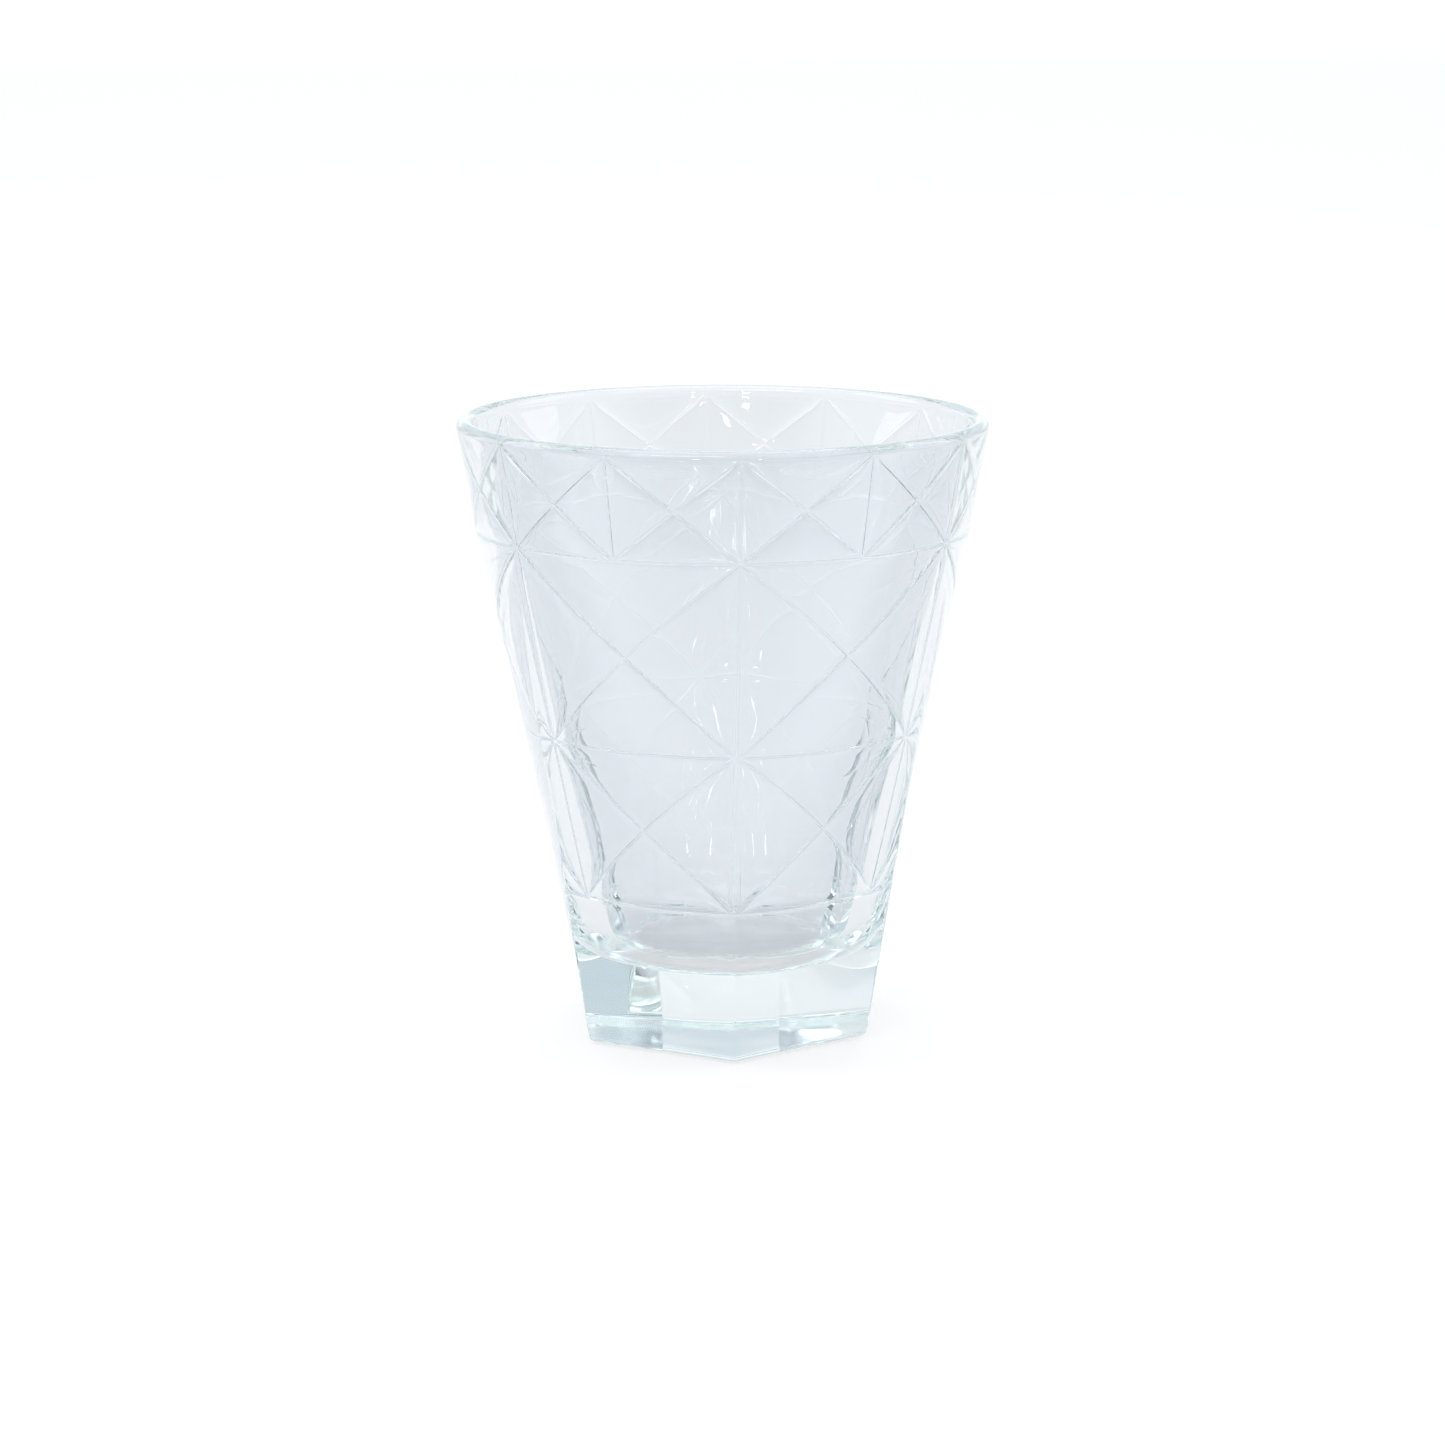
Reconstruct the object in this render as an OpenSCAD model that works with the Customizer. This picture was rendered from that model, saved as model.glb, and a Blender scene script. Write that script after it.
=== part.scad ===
// Whiskey tumbler in clear pressed glass.
// The outside is a hexagon at the base that eases to a circle higher up. The inside is round and
// carries a relief of crossed panels in three bands. Units are millimetres, +Z is up, the origin
// is the centre of the base, and one corner of the hexagon points along -Y.

/* [Overall size] */
// Height of the glass from the table to the top of the lip
glass_h = 107.9; // [104:0.1:112]
// Outside radius of the round mouth
mouth_r = 45.9; // [45:0.1:48]
// Radius of the foot's hexagon, centre to corner
foot_corner_r = 27.9; // [27:0.1:30]

/* [Foot] */
// Height of the solid block under the bowl
foot_h = 11; // [9:0.5:11.5]
// Radius of the rounding round the bottom edge
foot_round = 1.4; // [0.8:0.2:2]

/* [Drinking space] */
// Height of its flat floor above the table
floor_z = 14.5; // [13.5:0.5:16]
// Radius of the rounding between floor and wall
floor_round = 10; // [7:0.5:10.5]
// Height where the smooth bottom ends and the relief begins
relief_z = 27; // [26:0.5:29]
// Inside radius at that height
relief_r = 26.3; // [25:0.1:26.8]
// Glass thickness at the mouth
mouth_wall = 2.9; // [2.4:0.1:2.9]
// How far the wall bows outwards between the relief's foot and the mouth
wall_bow = 0.7; // [0:0.1:1]

/* [Relief] */
// Height of the ring between the lower two bands
lower_ring_z = 55.2; // [50:0.2:60]
// Height of the ring between the upper two bands
upper_ring_z = 89; // [84:0.5:94]
// How far the crossing of a panel's diagonals stands into the drinking space
crossing_rise = 0.5; // [0.2:0.1:0.8]

/* [Rim] */
// Height of the plain rounded lip above the relief
lip_h = 1.6; // [1.5:0.1:2.2]

/* [Hidden] */

sides = 6;                      // corners of the foot
side_turn = 360 / sides;        // angle of one side
first_corner = -90;             // one corner points along -Y
step = 5;                       // angle between the points of a ring
skin_rings = 10;                // rings up the outer skin of the bowl
round_rings = 4;                // rings in a rounded edge
narrow_panels = 2 * sides;      // panels in the top band
wide_panels = sides;            // panels in each of the two lower bands
relief_top = glass_h - lip_h;   // where the lip starts
past = 2;                       // how far a solid runs past the cut that trims it
slab = 3 * mouth_r;             // side of a cutting layer, wider than the glass
glass = "#dbe6e9";

// Polar point at a height
function polar(r, a, z) = [r * cos(a), r * sin(a), z];

// A closed solid through rings of equal point counts, listed from the bottom up
module ring_stack(rings) {
    n = len(rings[0]);
    top = len(rings) - 1;
    bottom = [for (i = [0 : n - 1]) i];
    walls = [for (k = [0 : top - 1], i = [0 : n - 1]) let (low = k * n, high = low + n, j = (i + 1) % n)
        each [[low + i, high + i, low + j], [low + j, high + i, high + j]]];
    lid = [for (i = [n - 1 : -1 : 0]) top * n + i];
    polyhedron(points = [for (ring = rings) each ring], faces = concat([bottom], walls, [lid]));
}

// Keeps what lies between two heights
module layer(z0, z1) {
    intersection() {
        children();
        translate([-slab / 2, -slab / 2, z0]) cube([slab, slab, z1 - z0]);
    }
}

// ---- Outer skin: straight corners from the base to the mouth, sides that round off upwards ----
function corner_r(z) = foot_corner_r + (mouth_r - foot_corner_r) * z / relief_top;

// 0 is a true hexagon and 1 a true circle
function roundness(z) = max(0, min(1, z / upper_ring_z));

// Angle from the middle of the nearest side
function off_side(a) = let (t = (a - first_corner) / side_turn) side_turn * (t - floor(t) - 0.5);

// How far the rounded bottom edge pulls the skin in
function edge_inset(z) = let (rise = max(0, min(foot_round, z)))
    foot_round - sqrt(pow(foot_round, 2) - pow(foot_round - rise, 2));

function skin_r(a, z) = corner_r(z)
    * (roundness(z) + (1 - roundness(z)) * cos(side_turn / 2) / cos(off_side(a))) - edge_inset(z);

module skin(heights) {
    ring_stack([for (z = heights) [for (a = [0 : step : 360 - step]) polar(skin_r(a, z), a, z)]]);
}

// ---- Inner wall: a gently bowed cone ----
function wall_r(z) = let (u = (z - relief_z) / (relief_top - relief_z))
    relief_r + (mouth_r - mouth_wall - relief_r) * u + 4 * wall_bow * u * (1 - u);

// The lean of the wall where the smooth bottom meets it
wall_lean = atan(wall_r(relief_z + 1) - wall_r(relief_z));
// The rounding's lowest and highest points, so that it runs into the wall in one line
round_top_z = floor_z + floor_round * (1 - sin(wall_lean));
round_top_r = relief_r - (relief_z - round_top_z) * tan(wall_lean);
floor_r = round_top_r - floor_round * cos(wall_lean);

// The smooth round bottom of the drinking space
module bottom_space() {
    sweep = 90 - wall_lean;
    profile = concat(
        [for (k = [0 : round_rings]) let (t = k / round_rings * sweep)
            [floor_r + floor_round * sin(t), floor_z + floor_round * (1 - cos(t))]],
        [[relief_r, relief_z]]);
    ring_stack([for (p = profile) [for (a = [0 : step : 360 - step]) polar(p[0], a, p[1])]]);
}

// Outline of one panel on the wall, anticlockwise seen from outside
function panel_edge(a0, turn, z0, z1) = concat(
    [for (a = [a0 : step : a0 + turn]) polar(wall_r(z0), a, z0)],
    [for (a = [a0 + turn : -step : a0]) polar(wall_r(z1), a, z1)]);

// One band of the relief: each panel is a fan of triangles round the crossing of its diagonals
module panel_band(count, z0, z1) {
    turn = 360 / count;
    arc = turn / step;              // segments along one panel's arc
    n = 2 * arc + 2;                // points round one panel
    crossing_z = (z0 + z1) / 2;
    crossing_r = wall_r(crossing_z) - crossing_rise;
    panels = [for (k = [0 : count - 1]) let (a = first_corner + k * turn)
        each concat(panel_edge(a, turn, z0, z1), [polar(crossing_r, a + turn / 2, crossing_z)])];
    centre = count * (n + 1);
    fans = [for (k = [0 : count - 1], i = [0 : n - 1]) let (first = k * (n + 1))
        [first + (i + 1) % n, first + i, first + n]];
    bottom = [for (k = [0 : count - 1], i = [0 : arc - 1]) let (p = k * (n + 1) + i) [centre, p, p + 1]];
    lid = [for (k = [0 : count - 1], i = [arc + 1 : n - 2]) let (p = k * (n + 1) + i) [centre + 1, p, p + 1]];
    polyhedron(points = concat(panels, [[0, 0, z0], [0, 0, z1]]), faces = concat(fans, bottom, lid));
}

module drinking_space() {
    bottom_space();
    panel_band(wide_panels, relief_z, lower_ring_z);
    panel_band(wide_panels, lower_ring_z, upper_ring_z);
    panel_band(narrow_panels, upper_ring_z, relief_top);
}

// ---- The three zones of the glass ----

// Solid hexagonal block with a rounded bottom edge and a flat underside
module foot() {
    rounding = [for (k = [0 : round_rings]) foot_round * (1 - cos(90 * k / round_rings))];
    color(glass) layer(0, foot_h) skin(concat([-past], rounding, [foot_h + past]));
}

// Wall and floor round the drinking space
module bowl() {
    rise = relief_top + past - (foot_h - past);
    heights = [for (k = [0 : skin_rings]) foot_h - past + rise * k / skin_rings];
    color(glass) difference() {
        layer(foot_h, relief_top) skin(heights);
        drinking_space();
    }
}

// Rounded, fire-polished lip
module rim() {
    lip_r = mouth_wall / 2;
    color(glass) rotate_extrude($fn = 144) translate([mouth_r - lip_r, relief_top]) {
        translate([-lip_r, 0]) square([mouth_wall, lip_h - lip_r]);
        intersection() {
            translate([0, lip_h - lip_r]) circle(r = lip_r, $fn = 48);
            translate([-lip_r, lip_h - lip_r]) square([mouth_wall, lip_r]);
        }
    }
}

foot();
bowl();
rim();
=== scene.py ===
# %% [markdown]
# A pressed-glass tumbler, cell by cell
#
# The object is one piece of clear glass: a heavy six-sided foot, a wall that eases from a hexagon
# to a circle on its way up, and a relief of crossed panels pressed into the inside. The CAD model
# holds its size and its place. This script gives it its fine shape and its finish.

# %% Load the fixed frame
import math

import bmesh
import bpy
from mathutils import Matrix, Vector


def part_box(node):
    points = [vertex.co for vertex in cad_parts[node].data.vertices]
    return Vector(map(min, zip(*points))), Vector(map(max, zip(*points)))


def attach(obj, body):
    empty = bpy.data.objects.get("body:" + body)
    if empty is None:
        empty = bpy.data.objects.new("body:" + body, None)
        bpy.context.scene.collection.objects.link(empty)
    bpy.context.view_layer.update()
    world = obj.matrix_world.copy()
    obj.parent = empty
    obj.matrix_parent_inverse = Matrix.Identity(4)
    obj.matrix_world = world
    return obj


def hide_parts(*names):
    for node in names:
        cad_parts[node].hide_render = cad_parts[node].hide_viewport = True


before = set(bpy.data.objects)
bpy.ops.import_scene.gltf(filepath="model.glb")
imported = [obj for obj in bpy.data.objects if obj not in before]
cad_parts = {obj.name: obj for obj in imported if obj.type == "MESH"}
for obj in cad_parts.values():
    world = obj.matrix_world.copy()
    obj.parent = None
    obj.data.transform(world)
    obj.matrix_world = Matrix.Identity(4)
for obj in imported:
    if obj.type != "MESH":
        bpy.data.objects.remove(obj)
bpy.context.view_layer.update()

# %% [markdown]
# One small class for all node work
#
# Node trees are easier to read as formulas than as boxes and wires. A Wire holds one output socket.
# Python's own operators on it add Math nodes, so `radius * angle + 1` builds two nodes, and the
# reflected forms let a plain number stand first. Every other node comes from `Wire.node`, which
# sets the node's settings before its sockets, because a setting can change which sockets exist.
# The same class serves geometry trees and shader trees, since both know the Math node.

# %% The Wire class
def plug(value, socket):
    """Puts a number, colour or object on a socket, or links a wire to it."""
    if isinstance(value, Wire):
        value.tree.links.new(value.socket, socket)
    else:
        socket.default_value = value


class Wire:
    """One output socket, with formulas."""

    def __init__(self, socket):
        self.socket = socket
        self.tree = socket.id_data

    @staticmethod
    def node(tree, kind, settings=None, sockets=None, out=0):
        """Adds any node and returns the wire of one of its outputs."""
        made = tree.nodes.new(kind)
        for name, value in (settings or {}).items():
            setattr(made, name, value)
        for name, value in (sockets or {}).items():
            plug(value, made.inputs[name])
        return Wire(made.outputs[out])

    def math(self, operation, *others):
        """A Math node on this wire. `others` fill its second and third socket."""
        return Wire.node(self.tree, "ShaderNodeMath", {"operation": operation},
                         dict(enumerate((self, *others))))

    def other(self, name):
        """Another output of the same node."""
        return Wire(self.socket.node.outputs[name])

    def __add__(self, other):
        return self.math("ADD", other)

    __radd__ = __add__

    def __sub__(self, other):
        return self.math("SUBTRACT", other)

    def __rsub__(self, other):
        return self.math("MULTIPLY_ADD", -1.0, other)

    def __mul__(self, other):
        return self.math("MULTIPLY", other)

    __rmul__ = __mul__

    def __truediv__(self, other):
        return self.math("DIVIDE", other)

    def __rtruediv__(self, other):
        return self.math("POWER", -1.0) * other

    def __pow__(self, other):
        return self.math("POWER", other)

    def clamped(self):
        """Held between 0 and 1."""
        return self.math("MAXIMUM", 0.0).math("MINIMUM", 1.0)

    def sine(self):
        return self.math("SINE")

    def cosine(self):
        return self.math("COSINE")

    def root(self):
        return self.math("SQRT")


def mixed(tree, share, first, second):
    """A colour between two others. The Mix node's colours are its inputs 6 and 7 and its output 2."""
    return Wire.node(tree, "ShaderNodeMix", {"data_type": "RGBA"},
                     {"Factor": share, 6: first, 7: second}, out=2)


print("one class covers the geometry trees and the shader trees")

# %% [markdown]
# What the glass measures
#
# Overall sizes come from the frame: the height, the mouth and the start of the lip are the rim's
# box, and the foot's corners follow from the lowest solid's reach along -Y. The other main sizes
# are the CAD source's own, in metres. The ribs, the dish of the facets, the softness of the
# corners and the exact rise of the crossings are looks only, so they are settled here.

# %% Sizes of the design
foot_low, foot_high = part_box("foot")
rim_low, rim_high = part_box("rim")
height = rim_high[2]
mouth_r = rim_high[0]
relief_top = rim_low[2]

# The corners run straight from the base to the lip, so one point on them gives their start
climbed = foot_high[2] / relief_top
foot_corner_r = (-foot_low[1] - mouth_r * climbed) / (1 - climbed)

sizes = {
    "Height": height,
    "Mouth radius": mouth_r,
    "Relief top": relief_top,
    "Foot corner radius": foot_corner_r,
    "Foot rounding": 0.0014,
    "Corner softness": 0.004,
    "Floor height": 0.0145,
    "Floor rounding": 0.010,
    "Relief foot": 0.027,
    "Relief foot radius": 0.0263,
    "Mouth wall": 0.0029,
    "Wall bow": 0.0007,
    "Lower ring": 0.0552,
    "Upper ring": 0.089,
    "Rib half width": 0.00032,
    "Rib rise": 0.00012,
    "Facet dish": 0.00012,
    "Crossing rise": 0.0006,
}
sides = 6
side_angle = 2 * math.pi / sides
corner_at = math.radians(-90)    # one corner of the hexagon points along -Y
columns = 240                    # faces round the glass
print(f"{height * 1000:.1f} mm high, {mouth_r * 2000:.1f} mm across the mouth, "
      f"{foot_corner_r * 2000:.1f} mm across the foot's corners")

# %% [markdown]
# The shape as formulas
#
# Each function below takes wires and returns a wire, so the shape stays a rule and not a list of
# points. `stage` is the trick behind the long profiles: a row number runs through several stages,
# and each stage goes from 0 to 1 over its own rows and then holds.

# %% Formulas for the skin and the wall
def stage(row, first, count):
    """0 before the row `first`, 1 after `count` more rows, straight between them."""
    return ((row - first) / count).clamped()


def wall_radius(z, size):
    """The inner wall: a cone from the relief's foot to the mouth, bowed a little outwards."""
    low, top = size["Relief foot"], size["Relief top"]
    up = (z - low) / (top - low)
    reach = size["Mouth radius"] - size["Mouth wall"] - size["Relief foot radius"]
    return size["Relief foot radius"] + reach * up + 4 * size["Wall bow"] * up * (1 - up)


def roundness(z, size):
    """0 where the outside is a hexagon, 1 where it is a circle."""
    return (z / size["Upper ring"]).clamped()


def skin_radius(off_side, z, size):
    """The outside, `off_side` radians from the middle of the nearest side."""
    up = z / size["Relief top"]
    corner = size["Foot corner radius"] + (size["Mouth radius"] - size["Foot corner radius"]) * up
    near = off_side.cosine()
    next_side = (side_angle - off_side.math("ABSOLUTE")).cosine()
    reach = near.math("SMOOTH_MAX", next_side, size["Corner softness"])
    hexagon = math.cos(side_angle / 2) / reach
    circle = roundness(z, size)
    return corner * (circle + (1 - circle) * hexagon)


def ring_position(tree, radius, angle, z):
    """The place at this radius, angle and height."""
    return Wire.node(tree, "ShaderNodeCombineXYZ",
                     sockets={"X": radius * angle.cosine(), "Y": radius * angle.sine(), "Z": z})


# %% [markdown]
# A grid that knows its rows
#
# Mesh Grid gives a flat sheet of faces. Made one metre between neighbours, a vertex's X and Y are
# its column and row, and Set Position then bends the sheet to any shape that has a formula.

# %% Helpers for grids and trees
def counted_grid(tree, across, along):
    """A sheet of `across` by `along` faces, with each vertex's column and row."""
    sheet = Wire.node(tree, "GeometryNodeMeshGrid", sockets={
        "Size X": across, "Size Y": along, "Vertices X": across + 1, "Vertices Y": along + 1})
    place = Wire.node(tree, "ShaderNodeSeparateXYZ",
                      sockets={"Vector": Wire.node(tree, "GeometryNodeInputPosition")})
    return sheet, place + across / 2, place.other("Y") + along / 2


def moved(tree, sheet, position):
    """The sheet with its vertices put at `position`."""
    return Wire.node(tree, "GeometryNodeSetPosition", sockets={"Geometry": sheet, "Position": position})


def new_tree(name, inputs):
    """A geometry tree with one named input for each size, and its wires by name."""
    tree = bpy.data.node_groups.new(name, "GeometryNodeTree")
    for label, value in inputs.items():
        kind = "NodeSocketMaterial" if isinstance(value, bpy.types.Material) else "NodeSocketFloat"
        tree.interface.new_socket(label, in_out="INPUT", socket_type=kind)
    tree.interface.new_socket("Geometry", in_out="OUTPUT", socket_type="NodeSocketGeometry")
    entry = tree.nodes.new("NodeGroupInput")
    return tree, {label: Wire(entry.outputs[label]) for label in inputs}


# %% [markdown]
# The outside, the lip and the underside
#
# On the real glass these come from the mould's outer half and from the flame that rounds the lip.
# One sheet makes them all. Its rows run from the centre of the underside, round the bottom edge,
# up the skin, over the lip and down to where the relief starts. Rows lie close together where the
# shape turns. Near the foot the columns crowd towards the six corners, so that their small
# rounding has real faces, and higher up they spread out evenly to meet the relief.

# %% The outer sheet
UNDER_ROWS, EDGE_ROWS, SKIN_ROWS, LIP_ROWS = 8, 5, 56, 16
CROWDING = 0.75      # 0 spreads the columns evenly, 1 would press them together at the corners
LOW_ROWS = 1.25      # above 1, the skin's rows lie closer together near the foot


def outer_sheet(tree, size):
    """The sheet from the centre of the underside to the top of the relief."""
    rows = UNDER_ROWS + EDGE_ROWS + SKIN_ROWS + LIP_ROWS + 1
    sheet, column, row = counted_grid(tree, columns, rows)
    under = stage(row, 0, UNDER_ROWS)
    edge = stage(row, UNDER_ROWS, EDGE_ROWS) * (math.pi / 2)
    skin = stage(row, UNDER_ROWS + EDGE_ROWS, SKIN_ROWS)
    lip = stage(row, UNDER_ROWS + EDGE_ROWS + SKIN_ROWS, LIP_ROWS) * math.pi
    inside = stage(row, rows - 1, 1)

    lip_r = size["Mouth wall"] / 2
    straight = size["Height"] - size["Relief top"] - lip_r
    skin_rise = size["Height"] - lip_r - size["Foot rounding"]
    skin_z = size["Foot rounding"] * (1 - edge.cosine()) + skin_rise * skin ** LOW_ROWS
    z = skin_z + lip_r * lip.sine() - straight * inside

    side = column / (columns / sides)
    across = side.math("FRACT")
    crowd = CROWDING * (1 - roundness(skin_z, size)) / (2 * math.pi)
    shifted = side - crowd * (across * (2 * math.pi)).sine()
    angle = shifted * side_angle + corner_at
    off_side = (shifted.math("FRACT") - 0.5) * side_angle

    radius = skin_radius(off_side, skin_z.math("MINIMUM", size["Relief top"]), size)
    inset = size["Foot rounding"] * (1 - edge.sine())
    spread = 1 - (1 - under) ** 2    # rows lie closer together towards the edge
    radius = (radius - inset) * spread - lip_r * (1 - lip.cosine())
    return moved(tree, sheet, ring_position(tree, radius, angle, z))


# %% [markdown]
# The smooth bottom of the drinking space
#
# Below the relief the plunger that pressed the glass was plain and round. The sheet starts at the
# relief's lowest line, with the lower half of that line's rib, then runs down a short straight
# wall, round a curve and in to the centre of the floor. A turned profile would give the same
# bowl, but a sheet with its own columns meets the relief's lowest line vertex by vertex.

# %% The inner bottom sheet
RIB_ROWS, WALL_ROWS, ROUND_ROWS, FLOOR_ROWS = 5, 6, 14, 8
PROBE = 0.001        # the wall's lean is taken over this height
CENTRE_ROWS = 1.5    # above 1, the floor's rows lie closer together towards its centre


def rib_profile(distance, size):
    """1 on a rib's crest and 0 from its foot on, in a smooth curve."""
    near = (1 - distance / size["Rib half width"]).clamped()
    return near * near * (3 - 2 * near)


def bottom_sheet(tree, size):
    """The sheet from the foot of the relief to the centre of the floor."""
    rows = RIB_ROWS + WALL_ROWS + ROUND_ROWS + FLOOR_ROWS
    sheet, column, row = counted_grid(tree, columns, rows)
    rib = stage(row, 0, RIB_ROWS)
    wall = stage(row, RIB_ROWS, WALL_ROWS)
    bend = stage(row, RIB_ROWS + WALL_ROWS, ROUND_ROWS)
    floor = stage(row, rows - FLOOR_ROWS, FLOOR_ROWS)

    low = size["Relief foot"]
    lean = ((wall_radius(low + PROBE, size) - size["Relief foot radius"]) / PROBE).math("ARCTANGENT")
    bend_r = size["Floor rounding"]
    top_z = size["Floor height"] + bend_r * (1 - lean.sine())
    drop = low - top_z
    top_r = size["Relief foot radius"] - drop * lean.math("TANGENT")
    floor_r = top_r - bend_r * lean.cosine()

    rib_drop = size["Rib half width"] * rib
    wall_z = low - rib_drop - (drop - size["Rib half width"]) * wall
    arc = (math.pi / 2 - lean) * bend + lean
    z = wall_z - bend_r * (arc.sine() - lean.sine())
    bulge = bend_r * (lean.cosine() - arc.cosine())
    radius = size["Relief foot radius"] - (low - wall_z) * lean.math("TANGENT") - bulge
    radius = radius - floor_r * (1 - (1 - floor) ** CENTRE_ROWS)
    radius = radius - size["Rib rise"] * rib_profile(rib_drop, size)
    angle = column * (2 * math.pi / columns) + corner_at
    return moved(tree, sheet, ring_position(tree, radius, angle, z))


# %% [markdown]
# The relief, one tile at a time
#
# The relief is three bands of panels. Two diagonals cut each panel into four triangles, and a thin
# raised rib runs along every line. A fine sheet with ribs pushed out of it would need millions of
# faces to stay sharp. So each triangle is a tile of its own, and its rows are the triangle's
# outline drawn again and again, always the same distance further in. The first rows lie along the
# ribs, however the lines run, and the rest close on the triangle's incentre, the point that is
# equally far from all three lines.
#
# Instance on Points puts a copy of the flat tile at each of many points, which all lie at the
# origin. Realize Instances makes the copies real, and a stored number tells every vertex which tile
# it belongs to.

# %% One band of the relief
FIELD_ROWS = 5


def panel_band(tree, size, count, low, high, fade_at_top):
    """One band of `count` panels between two heights, as four tiles to a panel.

    `fade_at_top` lets the ribs run out just below the band's upper edge."""
    edge = columns // count          # faces along a panel's ring line, and along its upright line
    slant = edge // 2                # faces along half a diagonal
    rows = RIB_ROWS + FIELD_ROWS
    sheet, step, row = counted_grid(tree, edge + 2 * slant, rows)
    points = Wire.node(tree, "GeometryNodePoints", sockets={"Count": 4 * count})
    number = Wire.node(tree, "GeometryNodeInputIndex")
    marked = Wire.node(tree, "GeometryNodeStoreNamedAttribute",
                       {"data_type": "FLOAT", "domain": "POINT"},
                       {"Geometry": points, "Name": "tile", "Value": number})
    copies = Wire.node(tree, "GeometryNodeInstanceOnPoints",
                       sockets={"Points": marked, "Instance": sheet}, out="Instances")
    real = Wire.node(tree, "GeometryNodeRealizeInstances", sockets={"Geometry": copies})
    tile = Wire.node(tree, "GeometryNodeInputNamedAttribute", {"data_type": "FLOAT"}, {"Name": "tile"})
    panel = (tile / 4 + 0.01).math("FLOOR")    # the 0.01 guards the floor against rounding
    kind = tile - 4 * panel          # 0 bottom, 1 right, 2 top, 3 left

    # Half the panel's width and height, laid flat, and the corners A and B of this tile
    middle = (low + high) / 2
    middle_r = wall_radius(middle, size)
    half_w = middle_r * (math.pi / count)
    half_h = (high - low) / 2
    turn_a = kind * (math.pi / 2) - math.radians(135)
    turn_b = turn_a + math.pi / 2
    ax, ay = half_w * math.sqrt(2) * turn_a.cosine(), half_h * math.sqrt(2) * turn_a.sine()
    bx, by = half_w * math.sqrt(2) * turn_b.cosine(), half_h * math.sqrt(2) * turn_b.sine()
    mx, my = (ax + bx) / 2, (ay + by) / 2
    reach = (mx * mx + my * my).root()
    line = ((bx - ax) ** 2 + (by - ay) ** 2).root()
    diagonal = (half_w * half_w + half_h * half_h).root()
    share = 2 * diagonal / (2 * diagonal + line)
    inradius = reach * (1 - share)

    # The outline: along AB, in to the crossing, and back out to A
    along = stage(step, 0, edge)
    inward = stage(step, edge, slant)
    outward = stage(step, edge + slant, slant)
    px = ax + (bx - ax) * along - bx * inward + ax * outward
    py = ay + (by - ay) * along - by * inward + ay * outward
    rib_w = size["Rib half width"]
    depth = rib_w * stage(row, 0, RIB_ROWS) + (inradius - rib_w) * stage(row, RIB_ROWS, FIELD_ROWS)
    scale = 1 - depth / inradius
    x = mx * share + (px - mx * share) * scale
    y = my * share + (py - my * share) * scale

    # How far the point stands into the drinking space
    from_a = (x * ay - y * ax).math("ABSOLUTE") / diagonal
    from_b = (x * by - y * bx).math("ABSOLUTE") / diagonal
    towards = (x * mx + y * my) / reach
    from_ab = reach - towards
    nearest = from_a.math("MINIMUM", from_b).math("MINIMUM", from_ab)
    z = middle + y
    rise = size["Rib rise"] * rib_profile(nearest, size)
    if fade_at_top:
        rise = rise * ((high - z) / rib_w).clamped()
    hollow = (depth / inradius).clamped()
    rise = rise + size["Crossing rise"] * (1 - towards / reach) - size["Facet dish"] * hollow * (2 - hollow)

    angle = (panel + 0.5) * (2 * math.pi / count) + corner_at + x / middle_r
    faced_in = Wire.node(tree, "GeometryNodeFlipFaces", sockets={"Mesh": real})
    return moved(tree, faced_in, ring_position(tree, wall_radius(z, size) - rise, angle, z))


# %% [markdown]
# The finish of the glass
#
# Soda-lime glass has a refractive index of 1.52. Pressed glass is never quite flat: its skin
# ripples where it froze against the iron mould, so a wide, weak noise tilts the surface. The edge
# it stands on is a little rubbed. A weak absorption inside turns the light green where it runs a
# long way, as in the rim and the foot. It could all be one plain glass shader, but then the edges
# would be as colourless as the wall. Patterns read Object coordinates.
#
# The cool grey tint is deeper than that of real clear glass. It is set for the glowing stage, which
# shines through the wall and would make a truer glass too pale.

# %% The glass material
GLASS_INDEX = 1.52
DEEP_TINT = (0.795, 0.815, 0.842, 1)
PALE_TINT = (0.815, 0.833, 0.857, 1)
INNER_COLOUR = (0.56, 0.84, 0.76, 1)
INNER_DENSITY = 2.5
RUBBED_HEIGHT = 0.0012    # how far the rubbed edge reaches up from the table
RUBBED_ROUGHNESS = 0.12


def glass_material():
    """Clear glass with rippled skin, a rubbed standing edge and a green inside."""
    material = bpy.data.materials.new("clear_pressed_glass")
    material.use_nodes = True
    tree = material.node_tree
    tree.nodes.clear()
    place = Wire.node(tree, "ShaderNodeTexCoord", out="Object")
    z = Wire.node(tree, "ShaderNodeSeparateXYZ", sockets={"Vector": place}, out="Z")

    ripple = Wire.node(tree, "ShaderNodeTexNoise",
                       sockets={"Vector": place, "Scale": 45.0, "Detail": 1.0, "Roughness": 0.4})
    bump = Wire.node(tree, "ShaderNodeBump",
                     sockets={"Strength": 0.18, "Distance": 0.001, "Height": ripple})
    cloud = Wire.node(tree, "ShaderNodeTexNoise",
                      sockets={"Vector": place, "Scale": 30.0, "Detail": 2.0})
    tint = mixed(tree, cloud, DEEP_TINT, PALE_TINT)
    rubbed = (1 - z / RUBBED_HEIGHT).clamped()
    shader = Wire.node(tree, "ShaderNodeBsdfPrincipled", sockets={
        "Base Color": tint, "Roughness": rubbed * RUBBED_ROUGHNESS, "IOR": GLASS_INDEX,
        "Transmission Weight": 1.0, "Normal": bump})
    depth = Wire.node(tree, "ShaderNodeVolumeAbsorption",
                      sockets={"Color": INNER_COLOUR, "Density": INNER_DENSITY})
    output = tree.nodes.new("ShaderNodeOutputMaterial")
    plug(shader, output.inputs["Surface"])
    plug(depth, output.inputs["Volume"])
    return material


glass = glass_material()
print(glass.name, "made of", len(glass.node_tree.nodes), "nodes")

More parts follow.
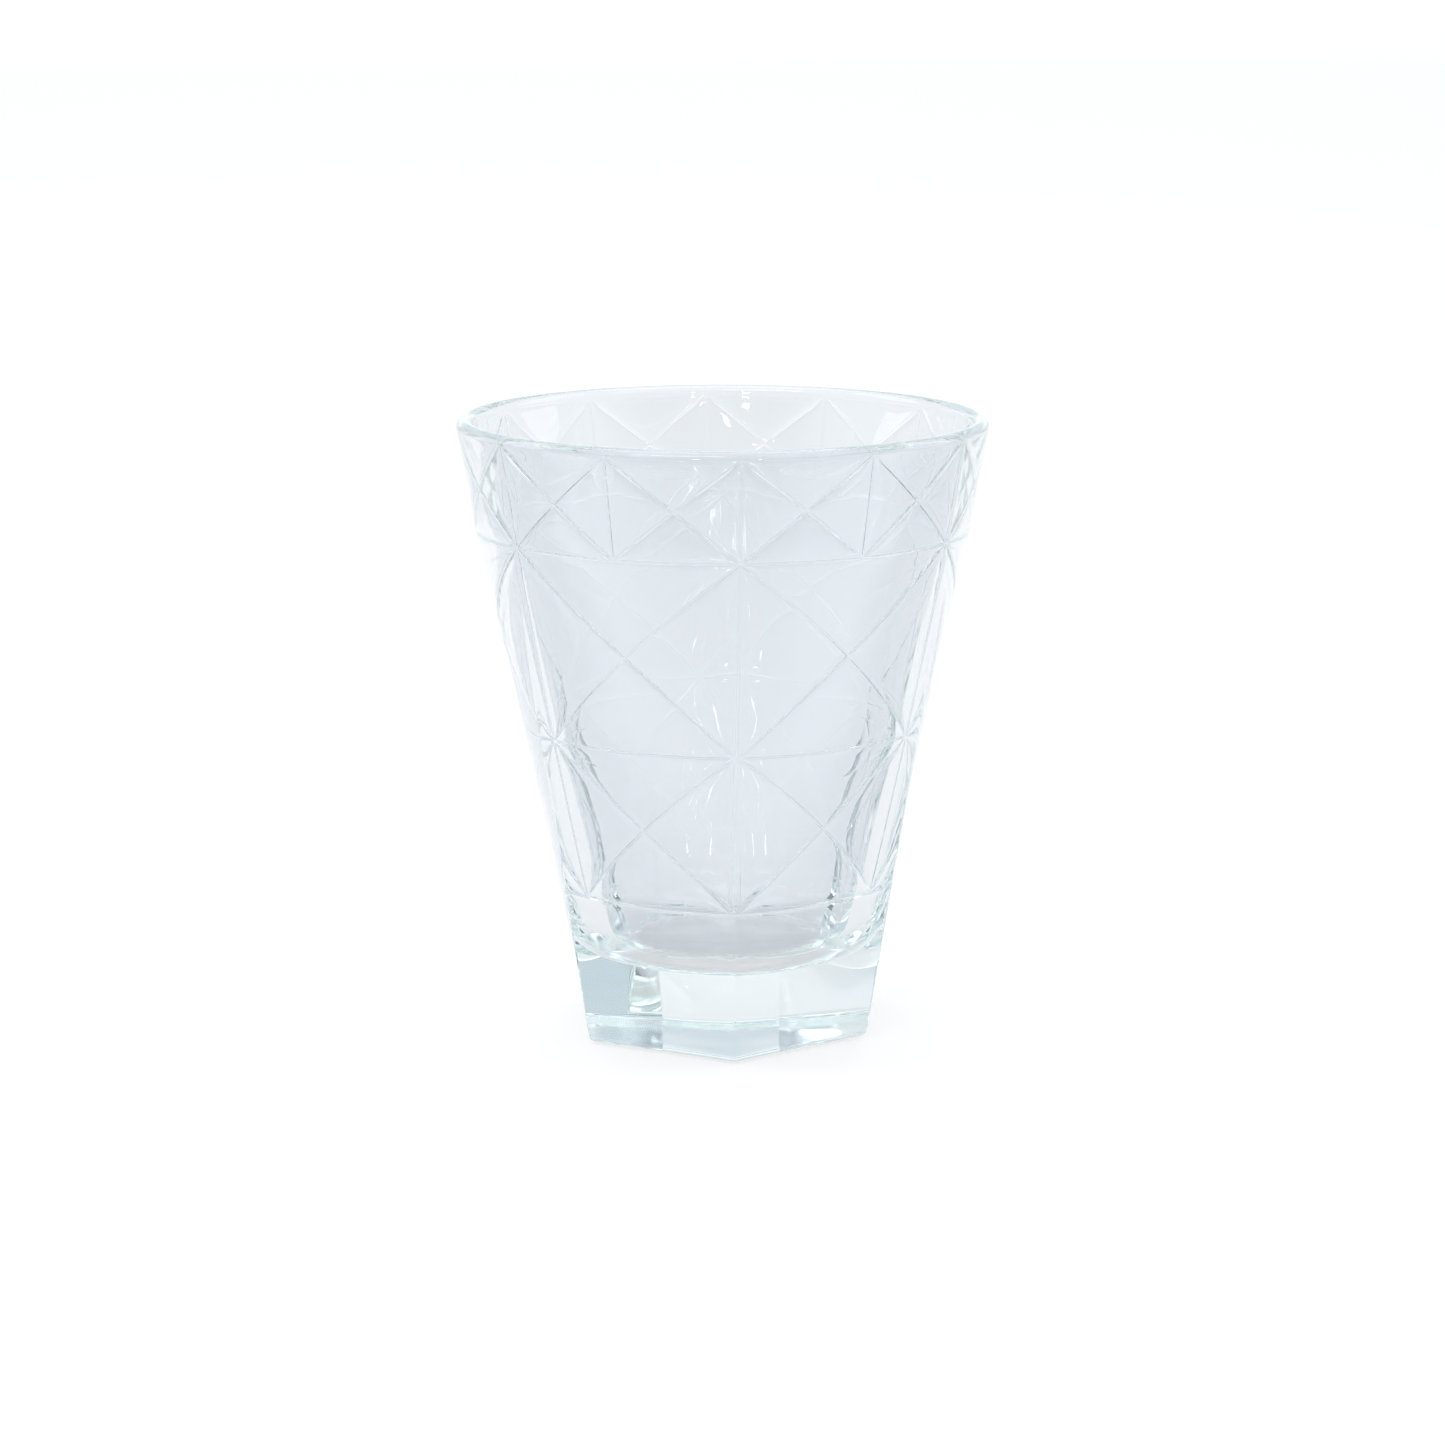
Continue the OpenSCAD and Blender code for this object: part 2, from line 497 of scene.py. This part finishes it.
# %% [markdown]
# One closed skin of glass
#
# A tumbler has no inner faces. The sheets meet along shared rings and panel lines, so merging the
# doubles leaves a single watertight surface, which is what makes light bend through it correctly.
# The tree runs once, and what it makes is kept as a plain mesh in place of the live modifier.

# %% The tree for the whole tumbler
tree, size = new_tree("pressed_tumbler", {**sizes, "Material": glass})
bands = [
    panel_band(tree, size, 2 * sides, size["Upper ring"], size["Relief top"], True),
    panel_band(tree, size, sides, size["Lower ring"], size["Upper ring"], False),
    panel_band(tree, size, sides, size["Relief foot"], size["Lower ring"], False),
]
joined = tree.nodes.new("GeometryNodeJoinGeometry")
for part in [outer_sheet(tree, size), bottom_sheet(tree, size), *bands]:
    plug(part, joined.inputs["Geometry"])
merged = Wire.node(tree, "GeometryNodeMergeByDistance",
                   sockets={"Geometry": Wire(joined.outputs[0]), "Distance": 1e-5})
smooth = Wire.node(tree, "GeometryNodeSetShadeSmooth", sockets={"Geometry": merged})
plain = Wire.node(tree, "GeometryNodeRemoveAttribute", sockets={"Geometry": smooth, "Name": "tile"})
real = Wire.node(tree, "GeometryNodeRealizeInstances", sockets={"Geometry": plain})
finished = Wire.node(tree, "GeometryNodeSetMaterial",
                     sockets={"Geometry": real, "Material": size["Material"]})
plug(finished, tree.nodes.new("NodeGroupOutput").inputs["Geometry"])
print(len(tree.nodes), "nodes in the tumbler's tree")

# %% Evaluate the tree and keep a plain mesh
def built_mesh(name, tree, values):
    """Runs a geometry tree with these inputs on an empty mesh and keeps what it makes."""
    carrier = bpy.data.objects.new(name, bpy.data.meshes.new(name + "_seed"))
    bpy.context.scene.collection.objects.link(carrier)
    modifier = carrier.modifiers.new("build", "NODES")
    modifier.node_group = tree
    for item in tree.interface.items_tree:
        if item.in_out == "INPUT":
            modifier[item.identifier] = values[item.name]
    bpy.context.view_layer.update()
    evaluated = carrier.evaluated_get(bpy.context.evaluated_depsgraph_get())
    mesh = bpy.data.meshes.new_from_object(evaluated)
    carrier.modifiers.remove(modifier)
    carrier.data = mesh
    mesh.name = name
    return carrier


tumbler = built_mesh("tumbler_glass", tree, {**sizes, "Material": glass})
check = bmesh.new()
check.from_mesh(tumbler.data)
triangles = sum(len(face.verts) - 2 for face in check.faces)
open_edges = sum(1 for edge in check.edges if not edge.is_manifold)
print(f"{len(check.faces)} faces, {triangles} triangles, {open_edges} open edges")
print(f"{check.calc_volume(signed=True) * 1e6:.1f} cm3, above 0 when the faces point outwards")
check.free()

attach(tumbler, "root")
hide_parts("foot", "bowl", "rim")

# %% [markdown]
# A plain white studio
#
# Clear glass is drawn by what stands round it. The white floor and backdrop shine through its body
# and make it pale. A brighter patch of floor before the glass lies mirrored in the front wall. The
# upper backdrop is a little dimmer and bluer, and shows in the lower foot. The room is cool at the
# sides and dark behind the camera, which keeps the wall that faces the camera free of a veil.

# %% The floor and the backdrop
GLOW_FROM, GLOW_OVER = 0.12, 0.12    # the backdrop grows brighter over these heights
DIM_FROM, DIM_OVER = 0.33, 0.12      # and dimmer and bluer again over these
PATCH_NEAR, PATCH_FAR = -0.035, -0.30    # the bright patch of floor lies between these
PATCH_FADE_NEAR, PATCH_FADE_FAR = 0.05, 0.10    # and fades in and out over these
AIR_FILM = 0.0003                    # how far the floor lies below the underside
FLOOR_GLOW = (0.66, 0.655, 0.65, 1)
PATCH_GLOW = (1.5, 1.49, 1.49, 1)
BACKDROP_GLOW = (0.95, 0.95, 0.95, 1)
UPPER_GLOW = (0.52, 0.57, 0.61, 1)


def stage_material():
    """A grey sheet that its own glow turns white, most of all in a patch before the glass."""
    material = bpy.data.materials.new("white_sweep")
    material.use_nodes = True
    tree = material.node_tree
    shader = tree.nodes["Principled BSDF"]
    place = Wire.node(tree, "ShaderNodeTexCoord", out="Object")
    z = Wire.node(tree, "ShaderNodeSeparateXYZ", sockets={"Vector": place}, out="Z")
    y = z.other("Y")
    # Painted light: the sheet is no lamp, yet its glow is a bright pool before the glass and turns dimmer
    # and bluer high on the backdrop.
    patch = ((PATCH_NEAR - y) / PATCH_FADE_NEAR).clamped() * ((y - PATCH_FAR) / PATCH_FADE_FAR).clamped()
    up = ((z - GLOW_FROM) / GLOW_OVER).clamped()
    high = ((z - DIM_FROM) / DIM_OVER).clamped()
    low_glow = mixed(tree, up, mixed(tree, patch, FLOOR_GLOW, PATCH_GLOW), BACKDROP_GLOW)
    glow = mixed(tree, high, low_glow, UPPER_GLOW)
    plug(glow, shader.inputs["Emission Color"])
    shader.inputs["Emission Strength"].default_value = 1.0
    shader.inputs["Base Color"].default_value = (0.38, 0.38, 0.38, 1)
    shader.inputs["Roughness"].default_value = 0.8
    return material


def sweep(width, front, back, bend, rise):
    """A white floor that curves up behind the glass into a backdrop.

    It lies a hair below the underside. That film of air makes the underside a mirror from within."""
    steps = 24
    profile = [(front, 0.0), (back - bend, 0.0)]
    for i in range(1, steps + 1):
        turn = math.pi / 2 * i / steps
        profile.append((back - bend + bend * math.sin(turn), bend * (1 - math.cos(turn))))
    profile.append((back, rise))
    verts = [(x, y, z - AIR_FILM) for y, z in profile for x in (-width / 2, width / 2)]
    faces = [(2 * i, 2 * i + 1, 2 * i + 3, 2 * i + 2) for i in range(len(profile) - 1)]
    mesh = bpy.data.meshes.new("white_sweep")
    mesh.from_pydata(verts, [], faces)
    mesh.shade_smooth()
    made = bpy.data.objects.new("white_sweep", mesh)
    bpy.context.scene.collection.objects.link(made)
    made.data.materials.append(stage_material())


sweep(width=4.0, front=-2.0, back=1.6, bend=0.6, rise=2.2)
print("the floor lies", AIR_FILM * 1000, "mm below the glass")

# %% [markdown]
# The lights
#
# Three large soft lamps light the glass from the sides and from above. A strip above the front left
# draws a white line along the lip. Two small lamps before the glass show as bright spots on the
# inside of the back wall. One large lamp would light it all, but would give glass no crisp marks.

# %% Soft lamps
def area_light(name, place, aim, width, length, watts):
    """A rectangular lamp at `place`, facing `aim`."""
    lamp = bpy.data.lights.new(name, "AREA")
    lamp.shape = "RECTANGLE"
    lamp.size, lamp.size_y = width, length
    lamp.energy = watts
    made = bpy.data.objects.new(name, lamp)
    made.location = place
    made.rotation_euler = (Vector(aim) - Vector(place)).to_track_quat("-Z", "Y").to_euler()
    bpy.context.scene.collection.objects.link(made)


middle = (0, 0, height / 2)
area_light("left_softbox", (-0.9, 0.2, 0.7), middle, 0.5, 0.9, 2.0)
area_light("right_softbox", (0.9, 0.1, 0.6), middle, 0.5, 0.9, 1.5)
area_light("top_softbox", (0, 0.3, 1.3), middle, 1.0, 0.8, 3.0)
area_light("rim_strip", (-0.30, -0.60, 0.85), middle, 0.60, 0.12, 1.2)
area_light("front_left_lamp", (-0.28, -1.0, 0.27), middle, 0.06, 0.06, 0.45)
area_light("front_right_lamp", (0.20, -1.05, 0.25), middle, 0.06, 0.06, 0.45)
print(len(bpy.data.lights), "lamps")

# %% [markdown]
# The room
#
# Directions that miss the floor and the backdrop meet the room. It is coloured by direction, from
# bright behind the glass, through a cooler tone at its sides, to dark behind the camera. A lamp for
# each wall would do the same with more noise.

# %% The room and the light paths
BRIGHT_ROOM = (0.86, 0.88, 0.90, 1)
COOL_ROOM = (0.74, 0.83, 0.89, 1)
DARK_ROOM = (0.16, 0.20, 0.22, 1)


def studio_world():
    """A bright room behind the glass, cooler at its sides and dark behind the camera."""
    world = bpy.data.worlds.new("studio_room")
    world.use_nodes = True
    tree = world.node_tree
    way = Wire.node(tree, "ShaderNodeTexCoord", out="Generated")
    y = Wire.node(tree, "ShaderNodeSeparateXYZ", sockets={"Vector": way}, out="Y")
    lit = mixed(tree, ((y + 0.4) / 0.6).clamped(), COOL_ROOM, BRIGHT_ROOM)
    colour = mixed(tree, ((-0.55 - y) / 0.3).clamped(), lit, DARK_ROOM)
    plug(colour, tree.nodes["Background"].inputs["Color"])
    return world


bpy.context.scene.world = studio_world()
bpy.context.scene.view_settings.view_transform = "Standard"

# Light turns inside thick glass many times before it leaves, so the paths are let run on.
LIGHT_TURNS = 40
for kind in ("max_bounces", "transmission_bounces", "glossy_bounces"):
    setattr(bpy.context.scene.cycles, kind, LIGHT_TURNS)
print("light may turn", LIGHT_TURNS, "times")

# %% [markdown]
# The camera
#
# A product camera on a long lens, about 63 cm away and looking down by 12 degrees.
# It stands 4 degrees to the left of the corner that faces it. A shorter lens from closer by would
# fill the frame as well, but would make the glass taper more than it does.

# %% Camera
CAMERA_DISTANCE = 0.632
CAMERA_ABOVE = math.radians(12.2)
CAMERA_LEFT = math.radians(4.1)
CAMERA_AIM = (0, 0, 0.05375)
LENS = 89.7

camera_data = bpy.data.cameras.new("camera")
camera_data.lens = LENS
camera_data.sensor_width = 36
camera = bpy.data.objects.new("camera", camera_data)
bpy.context.scene.collection.objects.link(camera)
flat = CAMERA_DISTANCE * math.cos(CAMERA_ABOVE)
camera.location = (-flat * math.sin(CAMERA_LEFT), -flat * math.cos(CAMERA_LEFT),
                   CAMERA_AIM[2] + CAMERA_DISTANCE * math.sin(CAMERA_ABOVE))
camera.rotation_euler = (Vector(CAMERA_AIM) - camera.location).to_track_quat("-Z", "Y").to_euler()
bpy.context.scene.camera = camera
print("camera at", [round(v, 3) for v in camera.location])
